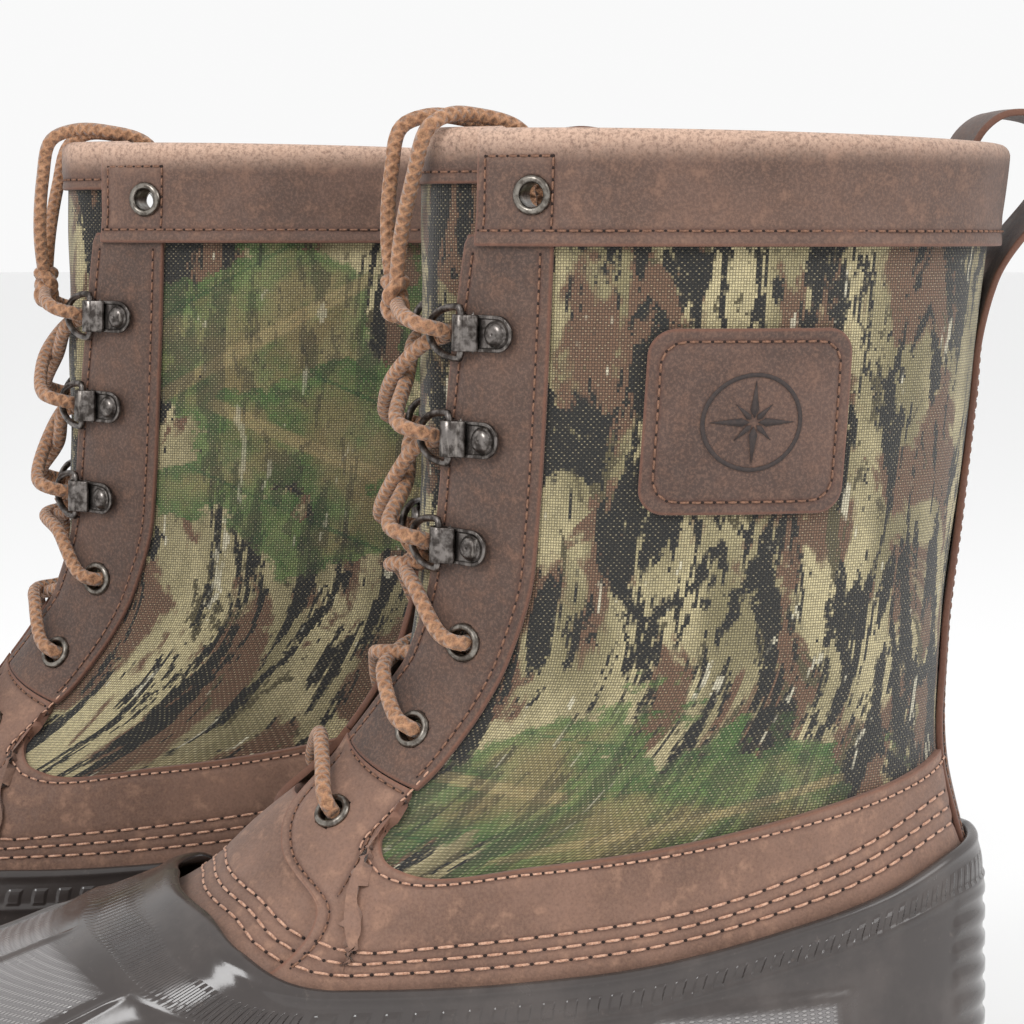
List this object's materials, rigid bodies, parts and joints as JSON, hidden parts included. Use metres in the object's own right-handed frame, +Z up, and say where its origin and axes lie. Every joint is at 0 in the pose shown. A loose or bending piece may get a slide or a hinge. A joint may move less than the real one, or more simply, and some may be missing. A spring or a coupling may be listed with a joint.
{
  "type": "insulated hunting boots",
  "caption": "Pair of laced insulated boots with ribbed rubber bottoms, felt liners, woven canvas shafts, leather trim and swivelling D-rings.",
  "frame": {"origin": "on the ground under the middle of the pair's outer box", "axes": "+Z up along the shafts, -Y towards the toes, +X towards the wearer's left"},
  "size_m": [0.2536, 0.4233, 0.2854],
  "materials": {
    "leather": "oiled nubuck",
    "dark_leather": "oiled nubuck",
    "canvas": "coarse printed weave",
    "shell_rubber": "semi-gloss moulded",
    "sole_rubber": "matte moulded",
    "felt": "felted",
    "steel": "satin",
    "gunmetal": "antiqued",
    "lace_cord": "round braid"
  },
  "bodies": {
    "left_boot": {"left_outsole": "sole_rubber", "left_steel_shank": "steel", "left_rubber_shell": "shell_rubber", "left_insole": "felt", "left_felt_liner": "felt", "left_vamp": "leather", "left_collar": "leather", "left_backstay": "dark_leather", "left_patch": "dark_leather", "left_lace": "lace_cord", "left_lateral_quarter": "leather", "left_lateral_canvas": "canvas", "left_lateral_eyestay": "leather", "left_lateral_clip_1": "gunmetal", "left_lateral_clip_2": "gunmetal", "left_lateral_clip_3": "gunmetal", "left_medial_quarter": "leather", "left_medial_canvas": "canvas", "left_medial_eyestay": "leather", "left_medial_clip_1": "gunmetal", "left_medial_clip_2": "gunmetal", "left_medial_clip_3": "gunmetal"},
    "right_boot": {"right_outsole": "sole_rubber", "right_steel_shank": "steel", "right_rubber_shell": "shell_rubber", "right_insole": "felt", "right_felt_liner": "felt", "right_vamp": "leather", "right_collar": "leather", "right_backstay": "dark_leather", "right_patch": "dark_leather", "right_lace": "lace_cord", "right_lateral_quarter": "leather", "right_lateral_canvas": "canvas", "right_lateral_eyestay": "leather", "right_lateral_clip_1": "gunmetal", "right_lateral_clip_2": "gunmetal", "right_lateral_clip_3": "gunmetal", "right_medial_quarter": "leather", "right_medial_canvas": "canvas", "right_medial_eyestay": "leather", "right_medial_clip_1": "gunmetal", "right_medial_clip_2": "gunmetal", "right_medial_clip_3": "gunmetal"},
    "left_tongue_body": {"left_tongue": "canvas", "left_tongue_binding": "dark_leather"},
    "left_lateral_ring_body_1": {"left_lateral_ring_1": "gunmetal"},
    "left_lateral_ring_body_2": {"left_lateral_ring_2": "gunmetal"},
    "left_lateral_ring_body_3": {"left_lateral_ring_3": "gunmetal"},
    "left_medial_ring_body_1": {"left_medial_ring_1": "gunmetal"},
    "left_medial_ring_body_2": {"left_medial_ring_2": "gunmetal"},
    "left_medial_ring_body_3": {"left_medial_ring_3": "gunmetal"},
    "right_tongue_body": {"right_tongue": "canvas", "right_tongue_binding": "dark_leather"},
    "right_lateral_ring_body_1": {"right_lateral_ring_1": "gunmetal"},
    "right_lateral_ring_body_2": {"right_lateral_ring_2": "gunmetal"},
    "right_lateral_ring_body_3": {"right_lateral_ring_3": "gunmetal"},
    "right_medial_ring_body_1": {"right_medial_ring_1": "gunmetal"},
    "right_medial_ring_body_2": {"right_medial_ring_2": "gunmetal"},
    "right_medial_ring_body_3": {"right_medial_ring_3": "gunmetal"}
  },
  "joints": [
    {"name": "right_boot_slide", "type": "slide", "parent": "left_boot", "child": "right_boot", "axis": [-1, 0, 0], "range_m": [0, 0.06]},
    {"name": "left_tongue_hinge", "type": "hinge", "parent": "left_boot", "child": "left_tongue_body", "pos_m": [0.0695, 0.00635, 0.098], "axis": [-1, 0, 0], "range_deg": [0, 3.5]},
    {"name": "left_lateral_ring_1_swing", "type": "hinge", "parent": "left_boot", "child": "left_lateral_ring_body_1", "pos_m": [0.09364, 0.0409, 0.17494], "axis": [0.0448, 0.0214, 0.9988], "range_deg": [-4, 4]},
    {"name": "left_lateral_ring_2_swing", "type": "hinge", "parent": "left_boot", "child": "left_lateral_ring_body_2", "pos_m": [0.09666, 0.04326, 0.20198], "axis": [0.0225, 0.0155, 0.9996], "range_deg": [-4, 4]},
    {"name": "left_lateral_ring_3_swing", "type": "hinge", "parent": "left_boot", "child": "left_lateral_ring_body_3", "pos_m": [0.09958, 0.04604, 0.22848], "axis": [0.0186, 0.0127, 0.9997], "range_deg": [-4, 4]},
    {"name": "left_medial_ring_1_swing", "type": "hinge", "parent": "left_boot", "child": "left_medial_ring_body_1", "pos_m": [0.04536, 0.0409, 0.17494], "axis": [-0.0448, 0.0214, 0.9988], "range_deg": [-4, 4]},
    {"name": "left_medial_ring_2_swing", "type": "hinge", "parent": "left_boot", "child": "left_medial_ring_body_2", "pos_m": [0.04234, 0.04326, 0.20198], "axis": [-0.0225, 0.0155, 0.9996], "range_deg": [-4, 4]},
    {"name": "left_medial_ring_3_swing", "type": "hinge", "parent": "left_boot", "child": "left_medial_ring_body_3", "pos_m": [0.03942, 0.04604, 0.22848], "axis": [-0.0186, 0.0127, 0.9997], "range_deg": [-4, 4]},
    {"name": "right_tongue_hinge", "type": "hinge", "parent": "right_boot", "child": "right_tongue_body", "pos_m": [-0.0695, -0.08765, 0.098], "axis": [-1, 0, 0], "range_deg": [0, 3.5]},
    {"name": "right_lateral_ring_1_swing", "type": "hinge", "parent": "right_boot", "child": "right_lateral_ring_body_1", "pos_m": [-0.09364, -0.0531, 0.17494], "axis": [-0.0448, 0.0214, 0.9988], "range_deg": [-4, 4]},
    {"name": "right_lateral_ring_2_swing", "type": "hinge", "parent": "right_boot", "child": "right_lateral_ring_body_2", "pos_m": [-0.09666, -0.05074, 0.20198], "axis": [-0.0225, 0.0155, 0.9996], "range_deg": [-4, 4]},
    {"name": "right_lateral_ring_3_swing", "type": "hinge", "parent": "right_boot", "child": "right_lateral_ring_body_3", "pos_m": [-0.09958, -0.04796, 0.22848], "axis": [-0.0186, 0.0127, 0.9997], "range_deg": [-4, 4]},
    {"name": "right_medial_ring_1_swing", "type": "hinge", "parent": "right_boot", "child": "right_medial_ring_body_1", "pos_m": [-0.04536, -0.0531, 0.17494], "axis": [0.0448, 0.0214, 0.9988], "range_deg": [-4, 4]},
    {"name": "right_medial_ring_2_swing", "type": "hinge", "parent": "right_boot", "child": "right_medial_ring_body_2", "pos_m": [-0.04234, -0.05074, 0.20198], "axis": [0.0225, 0.0155, 0.9996], "range_deg": [-4, 4]},
    {"name": "right_medial_ring_3_swing", "type": "hinge", "parent": "right_boot", "child": "right_medial_ring_body_3", "pos_m": [-0.03942, -0.04796, 0.22848], "axis": [0.0186, 0.0127, 0.9997], "range_deg": [-4, 4]}
  ]
}
